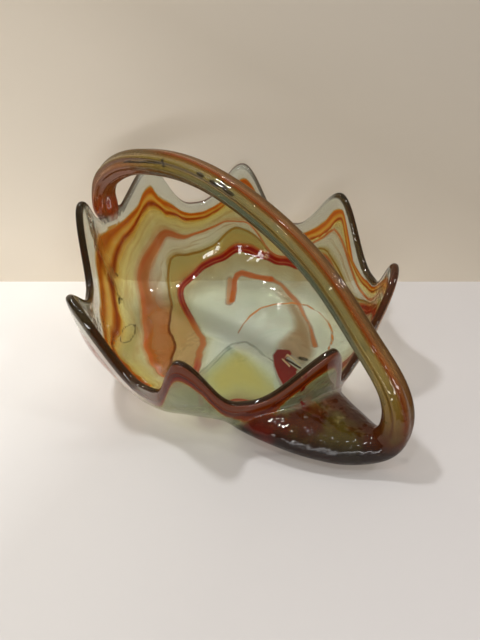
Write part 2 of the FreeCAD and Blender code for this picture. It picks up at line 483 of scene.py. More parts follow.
def closed_mesh(name, source):
    """Merges the seams of a grown grid and turns its faces outwards."""
    work = bmesh.new()
    work.from_mesh(source)
    bmesh.ops.remove_doubles(work, verts=work.verts, dist=1e-6)
    bmesh.ops.dissolve_degenerate(work, edges=work.edges, dist=1e-7)
    if work.calc_volume(signed=True) < 0:
        bmesh.ops.reverse_faces(work, faces=work.faces)
    mesh = bpy.data.meshes.new(name)
    work.to_mesh(mesh)
    open_edges = sum(not edge.is_manifold for edge in work.edges)
    print(name, "volume cm3", round(work.calc_volume() * 1e6, 1), "open edges", open_edges)
    work.free()
    return mesh


bowl_mesh = closed_mesh("bowl_glass", bowl_piece.data)

# %% [markdown]
# ## The tail and the handle
# The pulled glass follows a path, and its section changes from a broad, flat tail to a thin rod with
# eight ribs that twist slowly. Stations give the middle and the half sizes. A smooth path is laid
# through them, and a second tree draws the ribbed section at every place of the path.

# %% The path through the stations
SECTIONS = 200
FOOT_EDGE = (FOOT_X + FOOT_RADIUS, FOOT_Y, 0)


def station_places():
    azimuth, radius, height = swag_place(HANDLE_SWAG)
    far_lip = (radius * math.cos(math.radians(azimuth)), radius * math.sin(math.radians(azimuth)), height)
    start = {"foot edge": FOOT_EDGE, "middle": (0, 0, 0), "far lip": far_lip}
    return np.array([np.add(start[anchor], offset) for anchor, offset, width, height in TAIL_AND_HANDLE])


def smooth_path(places):
    """Cubic spline through the places, by their distances apart; returns places and directions."""
    lengths = np.linalg.norm(np.diff(places, axis=0), axis=1)
    count = len(places)
    system = np.zeros((count, count))
    right = np.zeros((count, 3))
    system[0, 0] = system[-1, -1] = 1.0
    for i in range(1, count - 1):
        system[i, i - 1:i + 2] = lengths[i - 1], 2 * (lengths[i - 1] + lengths[i]), lengths[i]
        slopes = np.diff(places[i - 1:i + 2], axis=0) / lengths[i - 1:i + 1, None]
        right[i] = 6 * (slopes[1] - slopes[0])
    bends = np.linalg.solve(system, right)
    spots, ways, counted = [], [], []
    for share in np.linspace(0, 1, SECTIONS):
        position = share * (count - 1)
        i = min(int(position), count - 2)
        part, length = position - i, lengths[i]
        rest = 1 - part
        spots.append(rest * places[i] + part * places[i + 1] + length ** 2 / 6 * (
            (rest ** 3 - rest) * bends[i] + (part ** 3 - part) * bends[i + 1]))
        ways.append((places[i + 1] - places[i]) / length + length / 6 * (
            (1 - 3 * rest ** 2) * bends[i] + (3 * part ** 2 - 1) * bends[i + 1]))
        counted.append(position)
    return np.array(spots), np.array(ways), np.array(counted)


path_spots, path_ways, path_counted = smooth_path(station_places())
path_ways /= np.linalg.norm(path_ways, axis=1)[:, None]


def station_sizes(counted):
    """Half width and half height between the stations, changing without a kink."""
    sizes = np.array([(width, height) for anchor, offset, width, height in TAIL_AND_HANDLE], float)
    sizes = np.vstack((sizes[:1], sizes, sizes[-1:]))
    start = np.minimum(counted.astype(int), len(TAIL_AND_HANDLE) - 2)
    share = (counted - start)[:, None]
    before, here, after, beyond = (sizes[start + step] for step in range(4))
    leave, arrive = (after - before) / 2, (beyond - here) / 2
    bend = (1 - share) * (leave - (after - here)) + share * ((after - here) - arrive)
    return here + share * (after - here) + share * (1 - share) * bend


path_sizes = station_sizes(path_counted)
handle_piece = mesh_object("basket_handle", path_spots * MM,
                           edges=[(i, i + 1) for i in range(SECTIONS - 1)])
path_share = np.linspace(0, 1, SECTIONS)
keep_numbers(handle_piece.data, "half_width", path_sizes[:, 0] * MM)
keep_numbers(handle_piece.data, "half_height", path_sizes[:, 1] * MM)
keep_numbers(handle_piece.data, "ribbed", smooth_step((path_share - RIBS_START) / (RIBS_END - RIBS_START)))
way_store = handle_piece.data.attributes.new("way", "FLOAT_VECTOR", "POINT")
way_store.data.foreach_set("vector", path_ways.astype(np.float32).ravel())
path_steps = np.linalg.norm(np.diff(path_spots, axis=0), axis=1)
print("handle path, metres", round(float(path_steps.sum()) * MM, 3))

# %% The recipe of the ribbed rod
ROD_NUMBERS = {"Round": 96, "Sections": SECTIONS, "Ribs": RIBS, "Rib Depth": RIB_DEPTH * MM,
               "Twist": math.radians(RIB_TWIST)}


def rod_recipe():
    given = new_recipe("ribbed_rod", ROD_NUMBERS)
    mesh, column, row = grid_of(plus(given["Round"], 1.0), plus(given["Sections"], 2.0))
    column = reckon("MODULO", column, given["Round"])
    last = minus(given["Sections"], 1.0)
    section = reckon("MINIMUM", reckon("MAXIMUM", minus(row, 1.0), 0.0), last)
    share = over(section, last)
    in_body = reckon("COMPARE", minus(row, 1.0), section, 0.1)
    angle = times(over(column, given["Round"]), 2 * math.pi)

    middle = read_from(given["Geometry"], section, "position", "FLOAT_VECTOR")
    way = read_from(given["Geometry"], section, "way", "FLOAT_VECTOR")
    width, height, ribbed = (read_from(given["Geometry"], section, name)
                             for name in ("half_width", "half_height", "ribbed"))
    sideways = (0.0, 1.0, 0.0)
    across = steer("NORMALIZE", apart(sideways, scaled(way, steer("DOT_PRODUCT", way, sideways))))
    upward = steer("CROSS_PRODUCT", way, across)
    wave = reckon("COSINE", times(angle, given["Ribs"]))
    rib = times(times(wave, ribbed), given["Rib Depth"])
    turned = times_plus(share, given["Twist"], angle)
    reach = times(plus(width, rib), reckon("COSINE", turned))
    rise = times(plus(height, rib), reckon("SINE", turned))
    place = ahead(middle, ahead(scaled(across, reach), upward, rise), in_body)
    return finish_recipe(mesh, place, {"run": share, "stripe_x": reckon("COSINE", angle),
                                       "stripe_y": reckon("SINE", angle)})


grow(handle_piece, rod_recipe(), ROD_NUMBERS)
RESTS_AT = 0.4 * MM             # the tail's flat stays a hair above the foot's, so the faces never coincide
rod_places = vertex_array(handle_piece.data)
rod_places[:, 2] = np.maximum(rod_places[:, 2], RESTS_AT)
handle_piece.data.vertices.foreach_set("co", rod_places.ravel())
rod_mesh = closed_mesh("rod_glass", handle_piece.data)

# %% [markdown]
# ## One piece of glass
# The tail grows out of the bowl, so the two are joined, not laid together. First the tail is trimmed
# inside the wall, then the bodies are united, and the throat, where the bubble's air was drawn into
# the tail, is taken out.

# %% Joining bowl, tail and handle
def join_or_cut(body, other, operation):
    """Boolean of two objects; both are used up and a new object with the result comes back."""
    modifier = body.modifiers.new(operation, "BOOLEAN")
    modifier.operation = operation
    modifier.solver = "EXACT"
    modifier.object = other
    name, mesh = body.name, plain_mesh(body)
    bpy.data.objects.remove(body)
    bpy.data.objects.remove(other)
    return in_scene(name, mesh)


def ring_mesh(name, rings):
    """Closed mesh through rings of equal count, with a middle place at either end."""
    count = len(rings[0])
    places = [place for ring in rings for place in ring]
    places += [np.mean(rings[0], axis=0), np.mean(rings[-1], axis=0)]
    faces = []
    for row in range(len(rings) - 1):
        for i in range(count):
            here, beside = row * count + i, row * count + (i + 1) % count
            faces.append((here, beside, beside + count, here + count))
    top = (len(rings) - 1) * count
    for i in range(count):
        faces.append(((i + 1) % count, i, len(places) - 2))
        faces.append((top + i, top + (i + 1) % count, len(places) - 1))
    return closed_mesh(name, mesh_object(name + "_draft", places, faces).data)


def room_in_bowl():
    """Room up to the middle of the wall and to the height of the swags, for trimming the tail."""
    disc, side = BOWL_NUMBERS["Disc Rows"], BOWL_NUMBERS["Side Rows"]
    outer = bowl_grid[:COLUMNS:4, disc:disc + side + 1]
    inner = bowl_grid[:COLUMNS:4, ::-1][:, disc:disc + side + 1]
    middle = (outer + inner) / 2
    columns = []
    for wall in middle:
        top = min(wall[-1, 2], (LIP_HEIGHT - SWAG_DEPTH) * MM)
        heights = wall[0, 2] + (top - wall[0, 2]) * np.linspace(0.02, 1, 24)
        columns.append([[np.interp(z, wall[:, 2], wall[:, 0]), np.interp(z, wall[:, 2], wall[:, 1]), z]
                        for z in heights])
    return ring_mesh("room", np.array(columns).transpose(1, 0, 2))


def throat_mesh():
    start = np.add(FOOT_EDGE, THROAT_MOUTH) * MM
    end = np.add(FOOT_EDGE, THROAT_TIP) * MM
    way = (end - start) / np.linalg.norm(end - start)
    across = np.cross(way, (0, 0, 1.0))
    upward = np.cross(across, way)
    rings = []
    for share in np.linspace(0, 1, 24):
        radius = (THROAT_RADIUS + (THROAT_TIP_RADIUS - THROAT_RADIUS) * share) * MM
        radius *= math.sqrt(max(0.02, 1 - max(0.0, (share - 0.85) / 0.15) ** 2))
        rings.append([start + (end - start) * share + radius * (across * math.cos(a) + upward * math.sin(a))
                      for a in np.linspace(0, 2 * math.pi, 48, endpoint=False)])
    return ring_mesh("throat", rings)


for draft in (bowl_piece, handle_piece):
    bpy.data.objects.remove(draft)
throat_glass = throat_mesh()
tail = join_or_cut(in_scene("tail", rod_mesh.copy()), in_scene("room", room_in_bowl()), "DIFFERENCE")
basket = join_or_cut(in_scene("streaked_basket", bowl_mesh.copy()), tail, "UNION")
basket = join_or_cut(basket, in_scene("throat", throat_glass.copy()), "DIFFERENCE")
for draft in [o for o in bpy.data.objects if o.name.endswith("_draft")]:
    bpy.data.objects.remove(draft)
basket.name = "streaked_basket"
basket.data.name = "streaked_basket"
print("joined", len(basket.data.vertices), "vertices", len(basket.data.polygons), "faces")

# %% [markdown]
# Hot glass flows where two bodies meet, so the joint has no sharp line. The vertices near the joint
# are moved towards their neighbours again and again, most where the two skins meet.

# %% Melting the joints
MELT_REACH = 11.0 * MM
MELT_ROUNDS = 40
MELT_STRENGTH = 0.5
ON_SKIN = 0.05 * MM
UNDERSIDE = 0.2 * MM            # what lies lower is the flat that the basket rests on


def skin_tree(mesh):
    """Search tree over the faces of a mesh."""
    return BVHTree.FromPolygons([v.co[:] for v in mesh.vertices], [p.vertices[:] for p in mesh.polygons])


def place_tree(places):
    """Search tree over single places."""
    tree = KDTree(len(places))
    for number, place in enumerate(places):
        tree.insert(place, number)
    tree.balance()
    return tree


def surface_distance(mesh, places):
    tree = skin_tree(mesh)
    return np.array([tree.find_nearest(place)[3] for place in places])


def melt(mesh):
    places = vertex_array(mesh)
    from_bowl = surface_distance(bowl_mesh, places)
    from_rod = surface_distance(rod_mesh, places)
    seam = place_tree(places[(from_bowl < ON_SKIN) & (from_rod < ON_SKIN)])
    away = np.array([seam.find(place)[2] for place in places])
    weight = (1 - smooth_step(away / MELT_REACH)) * MELT_STRENGTH
    weight[places[:, 2] < UNDERSIDE] = 0.0
    edges = np.empty(len(mesh.edges) * 2, int)
    mesh.edges.foreach_get("vertices", edges)
    first, second = edges[::2], edges[1::2]
    count = np.bincount(edges, minlength=len(places))[:, None]
    for turn in range(MELT_ROUNDS):
        total = np.zeros_like(places)
        np.add.at(total, first, places[second])
        np.add.at(total, second, places[first])
        places += (total / count - places) * weight[:, None]
    places[:, 2] = np.maximum(places[:, 2], 0.0)
    mesh.vertices.foreach_set("co", places.ravel())
    mesh.update()
    return places, from_bowl, from_rod


places, from_bowl, from_rod = melt(basket.data)
for polygon in basket.data.polygons:
    polygon.use_smooth = True
print("melted joint; lowest", round(float(places[:, 2].min()), 5))

# %% [markdown]
# ## Where the streaks lie
# The coloured threads were wound on the bubble as rings, and the ruffling drew them into zigzags
# along the lip. Each ring is picked in the photograph as a row of pixels, looked up on the inner
# skin through the camera, and kept as its share of the way from lip to floor at each azimuth.

# %% Picks from the photograph
AMBER_TOP = (
    (103, 345), (95, 334), (99.6, 310), (98.5, 279), (96.5, 256), (97, 245), (99.6, 235.6), (108, 230),
    (119.7, 223), (130, 212.7), (138, 203.5), (142.7, 193), (147.2, 186.3), (151.8, 188.5),
    (156.4, 194.3), (163.3, 198.9), (174.8, 205.8), (186.3, 211), (197.8, 211.3), (209.2, 209.2),
    (218.4, 204.6), (225.3, 200), (245.5, 179), (301.6, 232.7), (309.3, 232), (316.9, 228.2),
    (325.9, 220.6), (333.5, 211.6), (339.9, 207.8), (343.7, 209.7), (352.6, 262.7), (359, 271.6),
    (366.7, 279.2), (376.9, 283.7), (384.5, 280.5),
)
AMBER_LOW = (
    (152, 386), (140, 377), (126, 365), (115, 352), (111.7, 344), (116.3, 336), (118.5, 327.9),
    (119, 316.4), (116.3, 303.8), (114, 285), (114, 272.3), (117.4, 254), (124.3, 240), (133.5, 227.6),
    (141.5, 213.8), (148.4, 204.6), (155.3, 207), (165.6, 212.7), (177, 216.7), (189.7, 218.4),
    (201.2, 217.8), (212.7, 213.8), (224.2, 207), (308, 239), (319.5, 237.1), (328.4, 230.8),
    (336, 221.8), (342.4, 216.7), (347.5, 255), (352.6, 267.8), (359, 278), (366.7, 286.9),
    (375.6, 291.4), (382.6, 290.7),
)
TERRACOTTA = (
    (161, 373.5), (157.6, 367.8), (151.8, 359.7), (148.4, 350.5), (147.4, 344), (146.9, 338),
    (146.7, 333), (146.6, 327), (146.5, 321), (146.5, 315), (146.5, 310), (145.6, 302), (144.5, 294),
    (140.4, 275), (147.2, 259.7), (155.3, 249.4), (157.6, 240.2), (161, 235.6), (174.8, 233.9),
    (192, 233.3), (209.2, 228.7), (223, 221.8), (232.2, 220.1), (239, 220.7), (360, 290), (372, 299),
)
OLIVE_RING = (
    (172.5, 362), (173.2, 354), (173.7, 345), (173.3, 342.5), (172.6, 340), (171.9, 337), (171.2, 334),
    (170.5, 331), (170, 327.6), (170.6, 320), (171.4, 312), (172, 296), (171, 285), (164, 279),
    (166.8, 267.8), (172.5, 256.3), (180.5, 254), (192, 251.7), (209.2, 247), (220.7, 239), (230, 230),
    (236.6, 227.6), (243, 230.8), (253.2, 237.1), (262, 242.2), (273.6, 242.2), (332, 258), (366, 302),
)
RED_RING = (
    (196.6, 362), (199, 356), (201, 349.5), (202.2, 345), (202, 340), (201.3, 337.5), (200.3, 335.5),
    (199.2, 333.5), (197.8, 331), (193.5, 324), (189.7, 317), (181.5, 303), (180, 291), (185, 282.7),
    (193.2, 274.6), (201.2, 265.5), (212.7, 259.7), (226.5, 252.8), (239.1, 247.3), (246.8, 246.7),
    (258.3, 251.8), (268.5, 255.6), (281.2, 258.8), (291.4, 261.4), (300.4, 265.2), (331, 274),
    (364, 308),
)
HIDDEN = {                      # azimuth and millimetres below the lip, where no inner skin is seen
    "amber top": ((275, 3), (298, 4), (320, 3), (345, 4), (0, 4)),
    "amber low": ((275, 8), (298, 9), (320, 8), (345, 9), (0, 9)),
    "terracotta": ((270, 92), (276, 76), (282, 68), (294, 60), (318, 35), (345, 28), (0, 20)),
    "olive ring": ((262, 126), (270, 102), (276, 84), (282, 78), (294, 76), (318, 50), (336, 48),
                   (345, 42), (0, 32)),
    "red ring": ((272, 112), (276, 94), (282, 86), (294, 86), (306, 74), (318, 58), (328, 55),
                 (336, 60), (345, 60), (0, 50)),
}
HOOK_LEG = ((229, 303), (229.5, 292), (230, 280))
HOOK = ((232, 301), (234, 290), (234.5, 281), (237, 275), (241.7, 272.9), (255.7, 276.7), (271, 279.2))
HOOK_TAIL = (
    (271, 279.2), (281.2, 284.3), (288.9, 293.3), (299, 304), (304.2, 315.5), (310.6, 327), (313, 338.5),
    (315, 346),
)
THIN_ARC = (
    (237.9, 333.4), (243, 324.4), (250.6, 315.5), (260.8, 307.9), (276, 304), (291.4, 302.8),
    (306.7, 305.3), (319.5, 313), (328.4, 321.9), (332.2, 332), (332.2, 341), (328.4, 349.3),
)
GREY_LINE = (
    (200, 372.6), (212.7, 361.2), (224.2, 349.7), (232.2, 344), (240, 342.5), (245.5, 341.7),
    (255.7, 347.4), (263.4, 355), (273.6, 361.4),
)
GREEN_PATCH = (
    (198, 377), (212, 364), (224, 353), (236, 346), (249, 350), (262, 362), (273, 376), (283, 386),
    (276, 397), (258, 404), (234, 406), (212, 399),
)
BROWN_PATCH = (
    (279, 284), (290, 293), (299.5, 304), (305, 315.5), (311, 327), (313.5, 338.5), (315.3, 350.6),
    (314, 358), (303, 366), (290, 358), (281, 352), (275, 350), (277, 342), (285, 334.5), (293, 328),
    (292, 317), (285, 303), (275, 291),
)
RED_CRESCENT = (
    (278.2, 350.3), (288.5, 350.8), (290, 354), (284.6, 357), (285, 360), (288.5, 364.4), (296, 369.5),
    (301, 371), (301, 378), (293.6, 385.5), (286, 387.4), (279.5, 376), (275.6, 365.6), (274.4, 355.4),
)
SLIT = ((286.6, 359.8), (293, 363.5), (300.4, 368.2))
SLIT_EDGE = ((299.6, 372.8), (289.5, 366), (282.5, 359), (287.4, 354.5), (294, 360), (301, 366))
DARK_SPOT = ((300.5, 358), (306, 359.5))
CORE_LINE = ((123, 162.5), (128, 161.5), (136, 162.5), (145, 162), (154, 162.5), (161, 163.5))
HANDLE_SPECKS = (
    ((162, 160), (164, 166)), ((197, 173), (202, 176)), ((211, 181), (216, 185)),
    ((222, 184), (225, 190)), ((228, 192.5), (233, 195)), ((275.5, 225), (277, 226.5)),
)
SEEDS = (
    ((120, 341), (123, 329), (130, 324.5), (136, 325), (135, 333), (130, 341), (123, 343)),
    ((118, 304), (119, 298), (122, 298), (122, 302)), ((115, 278), (116, 273), (118, 275), (117, 278)),
)


# %% Looking the picks up on the glass
INNER_SKIN = 0.6                # "inner" goes from 0 outside to 1 inside; from here on it is inside
bowl_tree = skin_tree(bowl_mesh)
grid_tree = place_tree(bowl_places)


def on_inner_skin(pixel):
    """Place on the inner skin that a pixel shows, or None."""
    way = sight_line(*pixel)
    start = CAMERA_PLACE.copy()
    for crossing in range(12):
        place, normal, face, distance = bowl_tree.ray_cast(start, way)
        if place is None:
            return None
        if normal.dot(way) < 0 and bowl_inner[grid_tree.find(place)[1]] > INNER_SKIN:
            return place
        start = place + way * 1e-4
    return None


def turn_of(places):
    """Azimuth of places, from 0 to 360 degrees."""
    return np.degrees(np.arctan2(places[:, 1], places[:, 0])) % 360


down_grid = bowl_down.reshape(COLUMNS + 1, BOWL_ROWS)
bowl_share = (down_grid / down_grid.max(1, keepdims=True)).reshape(-1)
rim_turn = turn_of(bowl_grid[:-1, BOWL_ROWS // 2])
order = np.argsort(rim_turn)
WAY_DOWN = np.interp(np.arange(361), rim_turn[order], down_grid.max(1)[:-1][order], period=360)


def ring_of(name, pixels):
    """Share of the way down at every whole degree, from a ring's picks and its hidden part."""
    found = [(azimuth % 360, down / WAY_DOWN[azimuth % 360]) for azimuth, down in HIDDEN[name]]
    for pixel in pixels:
        place = on_inner_skin(pixel)
        if place is None:
            print(name, "pick beside the glass", pixel)
            continue
        azimuth = math.degrees(math.atan2(place.y, place.x)) % 360
        found.append((azimuth, float(bowl_share[grid_tree.find(place)[1]])))
    found.sort()
    return np.interp(np.arange(361) % 360, [f[0] for f in found], [f[1] for f in found], period=360)


LEAST_APART, LOWEST = 0.012, 0.98   # rings never cross, and end above the middle of the floor
RINGS = {}
above = np.zeros(361)
for name, pixels in (("amber top", AMBER_TOP), ("amber low", AMBER_LOW), ("terracotta", TERRACOTTA),
                     ("olive ring", OLIVE_RING), ("red ring", RED_RING)):
    RINGS[name] = above = np.clip(ring_of(name, pixels), above + LEAST_APART, LOWEST)
    print(name, "share of the way down", [round(float(above[turn]), 2) for turn in range(0, 360, 30)])

# %% [markdown]
# Between the rings a streak number runs evenly: 0 at the lip, 1 at the first ring, and so on to 6 in
# the middle of the floor. A colour ramp over it lays the broad zones at once. The narrow threads
# keep their own distance in millimetres, so that they are as thin where rings lie far apart.

# %% The streak number
bowl_azimuth = turn_of(bowl_home)


def round_the_bowl(values):
    """Value at each place of the grid from one value a degree, or from pairs of degree and value."""
    if len(values) == 361:
        return np.interp(bowl_azimuth, np.arange(361), values)
    return np.interp(bowl_azimuth, [v[0] for v in values], [v[1] for v in values], period=360)


def streak_numbers():
    heights = [np.zeros(len(bowl_share))] + [round_the_bowl(ring) for ring in RINGS.values()]
    heights.append(np.ones(len(bowl_share)))
    streak = np.zeros(len(bowl_share))
    for ring in range(len(heights) - 1):
        upper, lower = heights[ring], np.maximum(heights[ring + 1], heights[ring] + 0.005)
        inside = bowl_share >= upper
        streak[inside] = ring + ((bowl_share - upper) / (lower - upper))[inside]
    return np.clip(streak, 0, 6)


# %% Distances to the threads
def distance_to_line(spots, line):
    """Distance in millimetres from a line of places."""
    least = np.full(len(spots), 1e9)
    for start, end in zip(line, line[1:]):
        span = end - start
        share = np.clip(((spots - start) @ span) / max(span @ span, 1e-12), 0, 1)
        least = np.minimum(least, np.linalg.norm(spots - (start + share[:, None] * span), axis=1))
    return least / MM


def least_distance(spots, lines):
    return np.min([distance_to_line(spots, line) for line in lines], axis=0)


def picked_line(pixels, closed=False):
    line = [on_inner_skin(pixel) for pixel in pixels]
    line = np.array([place[:] for place in line if place is not None])
    return np.vstack((line, line[:1])) if closed else line


def within(spots, line):
    """Whether each place lies within a closed line, seen from above."""
    inside = np.zeros(len(spots), bool)
    for start, end in zip(line, line[1:]):
        if start[1] != end[1]:
            between = (start[1] > spots[:, 1]) != (end[1] > spots[:, 1])
            inside ^= between & (spots[:, 0] < start[0] + (spots[:, 1] - start[1])
                                 * (end[0] - start[0]) / (end[1] - start[1]))
    return inside


def thread_line(ring):
    """The ring as a line of places on the inner skin, one every two degrees."""
    skin = np.flatnonzero(bowl_inner > INNER_SKIN)
    line = []
    for turn in range(0, 360, 2):
        miss = (((bowl_azimuth[skin] - turn + 180) % 360 - 180) / 1.6) ** 2
        miss += ((bowl_share[skin] - ring[turn]) * 80) ** 2
        weight = np.exp(miss.min() - miss)
        line.append(weight @ bowl_home[skin] / weight.sum())
    return np.array(line + line[:1])


# %% Numbers that change round the bowl
THREAD_BREADTH = {              # azimuth and breadth of a thread; 1 is its usual breadth
    "terracotta": ((0, 0.5), (60, 0.4), (100, 0.2), (130, 0.2), (150, 0.4), (158, 0.9), (166, 1.6),
                   (178, 1.9), (200, 1.4), (245, 1.2), (262, 0.3)),
    "olive ring": ((0, 0.8), (90, 0.8), (150, 1.0), (185, 1.1), (260, 1.1)),
    "red ring": ((0, 1.2), (30, 1.5), (60, 1.3), (105, 1.3), (130, 1.2), (160, 0.9), (180, 0.9),
                 (260, 0.9)),
}
ROUND_THE_BOWL = {              # azimuth and strength of what is found on one side only
    # The first entry is where the bead is dark, partly thick tinted glass and partly painted shade.
    "dark_bead": ((0, 1), (79, 1), (84, 0.3), (92, 0.1), (100, 0.1), (106, 0.8), (119, 0.9), (124, 0.4),
                  (132, 0.05), (168, 0.1), (173, 0.8), (183, 0.8), (188, 0.3), (199, 0.3), (205, 1),
                  (345, 1)),
    "rusty_side": ((170, 0), (184, 1), (258, 1), (275, 0.3), (300, 0)),
    "brown_front": ((274, 0), (288, 1), (345, 1), (375, 0)),
    "warm_bead": ((40, 1), (50, 0), (345, 0), (355, 1)),
    # The last entry also marks a painted pale sheen on the outside of the wall.
    "broad_bead": ((236, 0), (246, 1), (276, 1), (284, 0.2), (292, 0)),
}
LINES = {"hook": HOOK, "hook_leg": HOOK_LEG, "hook_tail": HOOK_TAIL, "thin_arc": THIN_ARC,
         "grey_line": GREY_LINE, "slit": SLIT, "slit_edge": SLIT_EDGE, "dark_spot": DARK_SPOT}
PATCHES = {"green_patch": GREEN_PATCH, "brown_patch": BROWN_PATCH, "red_crescent": RED_CRESCENT}
SMOOTHED_OVER, LAP = 5, 8       # degrees that a ring is smoothed over, and degrees it overlaps itself

# %% Laying the numbers on the glass
laid = {"streak": streak_numbers(), "inner": bowl_inner, "below_lip": bowl_down}
for name, values in ROUND_THE_BOWL.items():
    laid[name] = round_the_bowl(values)
for name, breadth in THREAD_BREADTH.items():
    wrapped = np.concatenate((RINGS[name][-LAP - 1:-1], RINGS[name], RINGS[name][1:LAP + 1]))
    ring = np.convolve(wrapped, np.full(SMOOTHED_OVER, 1 / SMOOTHED_OVER), "same")[LAP:-LAP]
    away = distance_to_line(bowl_home, thread_line(ring))
    away = np.where(bowl_share > round_the_bowl(ring), away, -away)
    laid[name.replace(" ", "_")] = away / round_the_bowl(breadth)
for name, pixels in LINES.items():
    laid[name] = distance_to_line(bowl_home, picked_line(pixels))
for name, pixels in PATCHES.items():
    edge = picked_line(pixels, closed=True)
    away = distance_to_line(bowl_home, edge)
    laid[name] = np.where(within(bowl_home, edge), -away, away)
laid["seed"] = least_distance(bowl_home, [picked_line(seed, closed=True) for seed in SEEDS])
bead = np.abs(rows - BOWL_ROWS // 2) / (BOWL_NUMBERS["Bead Rows"] / 2)
laid["ridge"] = np.tile(np.minimum(bead, 2.0), COLUMNS + 1)

basket_tree = skin_tree(basket.data)


def on_handle(pixels):
    """Places that pixels show on the outside of the dressed piece."""
    return np.array([basket_tree.ray_cast(CAMERA_PLACE, sight_line(*pixel))[0][:] for pixel in pixels])


def nearest_of(tree):
    """For each vertex of the basket, the number of the nearest place in the tree."""
    return np.array([tree.find(place)[1] for place in places])


on_grid, on_rod = nearest_of(grid_tree), nearest_of(place_tree(vertex_array(rod_mesh)))
dressed = {name: values[on_grid] for name, values in laid.items()}
for name in ("run", "stripe_x", "stripe_y"):
    dressed[name] = number_array(rod_mesh, name)[on_rod]
TAIL_JOINT, TAIL_FADE = 2.5 * MM, 7 * MM
dressed["drawn"] = smooth_step(0.5 + (from_bowl - from_rod - TAIL_JOINT) / TAIL_FADE)
dressed["throat"] = surface_distance(throat_glass, places) / MM
dressed["core_line"] = distance_to_line(places, on_handle(CORE_LINE))
dressed["specks"] = least_distance(places, [on_handle(speck) for speck in HANDLE_SPECKS])
for name, values in dressed.items():
    keep_numbers(basket.data, name, values)
print("laid", len(dressed), "numbers on", len(places), "places")

# %% [markdown]
# ## The glass
# The glass is clear, slightly grey-green, and the threads in it are amber, orange, terracotta, olive
# and red-brown, partly see-through. One shader does both: its colour comes from ramps over the
# numbers above, and so does how much of the light goes through. Noise that is drawn out along the
# rings gives the fine fibres that a pulled thread has.

# %% Colour helpers
def paint(red, green, blue, clear=1.0):
    """Colour from the 0 to 255 scale that a screen shows, with how clear the glass is."""
    def straight(value):
        value /= 255.0
        return value / 12.92 if value <= 0.04045 else ((value + 0.055) / 1.055) ** 2.4
    return straight(red), straight(green), straight(blue), clear


def ramp(value, stops, top):
    """Colour ramp over a number from 0 to top; a stop is a place and the numbers of its paint."""
    node = add_node("ShaderNodeValToRGB")
    band = node.color_ramp
    while len(band.elements) < len(stops):
        band.elements.new(1.0)
    for element, (place, *tone) in zip(band.elements, stops):
        element.position = place / top
    for element, (place, *tone) in zip(band.elements, stops):
        element.color = paint(*tone)
    feed(node.inputs[0], over(value, top))
    return node.outputs["Color"], node.outputs["Alpha"]


def blend_colour(factor, low, high):
    return made("ShaderNodeMix", {0: factor, 6: low, 7: high}, 2, data_type="RGBA")


def blend_number(factor, low, high):
    return made("ShaderNodeMix", {0: factor, 2: low, 3: high})


def attribute(name):
    return add_node("ShaderNodeAttribute", attribute_name=name).outputs["Fac"]


def cloud(vector, scale, detail=3.0):
    return made("ShaderNodeTexNoise", {"Vector": vector, "Scale": scale, "Detail": detail}, "Fac")


def both(*factors):
    product = factors[0]
    for factor in factors[1:]:
        product = times(product, factor)
    return product


def greater(first, second):
    return reckon("MAXIMUM", first, second)


def size_of(value):
    return reckon("ABSOLUTE", value)


class Coat:
    """Colour and clearness of the glass, laid over in layers."""
    MIXED_CLEAR = 0.55          # how clear a tone is that was mixed from two

    def __init__(self, colour, clear):
        self.colour, self.clear = colour, clear

    def lay(self, tone, *factors):
        """Lays a tone where all its factors are 1."""
        factor = both(*factors)
        clear = tone[3] if isinstance(tone, tuple) else self.MIXED_CLEAR
        self.colour = blend_colour(factor, self.colour, tone)
        self.clear = blend_number(factor, self.clear, clear)


# %% [markdown]
# The broad zones come from a ramp, which suits glass that changes slowly from lip to floor. A thread
# is crisp and keeps its breadth, so it is laid by its own distance in millimetres. A painted picture
# could show both, but it would blur close up and would not follow the two skins of the wall.

# %% Zones and stripes
ZONES = (                       # streak number, then red, green, blue and clearness
    (0.00, 214, 221, 216, 0.97), (0.88, 212, 219, 212, 0.97), (0.98, 210, 172, 92, 0.8),
    (1.08, 200, 116, 26, 0.62), (1.26, 188, 98, 18, 0.55), (1.36, 202, 126, 30, 0.62),
    (1.50, 214, 160, 62, 0.7), (1.64, 216, 172, 76, 0.75), (1.78, 194, 116, 30, 0.6),
    (1.90, 160, 72, 14, 0.45), (2.00, 176, 96, 26, 0.55), (2.10, 206, 170, 72, 0.75),
    (2.30, 208, 198, 122, 0.85), (2.60, 198, 190, 130, 0.85), (2.80, 190, 190, 146, 0.88),
    (2.94, 196, 172, 118, 0.85), (3.20, 202, 204, 182, 0.92), (3.70, 202, 204, 180, 0.92),
    (3.96, 178, 170, 110, 0.85), (4.10, 176, 168, 104, 0.8), (4.60, 182, 166, 98, 0.8),
    (4.90, 170, 138, 86, 0.75), (5.10, 186, 182, 144, 0.85), (5.30, 200, 210, 190, 0.94),
    (6.00, 204, 216, 212, 0.94),
)
STRIPES = (                     # degrees round the rod, then the same
    (0, 116, 84, 36, 0.65), (60, 104, 72, 30, 0.6), (95, 86, 62, 24, 0.55), (118, 92, 72, 28, 0.6),
    (132, 112, 94, 38, 0.65), (150, 166, 148, 72, 0.75), (164, 156, 134, 60, 0.7),
    (170, 70, 48, 16, 0.5), (176, 164, 144, 64, 0.75), (195, 152, 134, 56, 0.7),
    (207, 142, 100, 36, 0.6), (215, 132, 58, 14, 0.45), (227, 158, 96, 46, 0.6),
    (245, 154, 110, 62, 0.65), (264, 104, 70, 32, 0.55), (288, 78, 60, 26, 0.55),
    (330, 108, 76, 32, 0.6), (360, 116, 84, 36, 0.65),
)


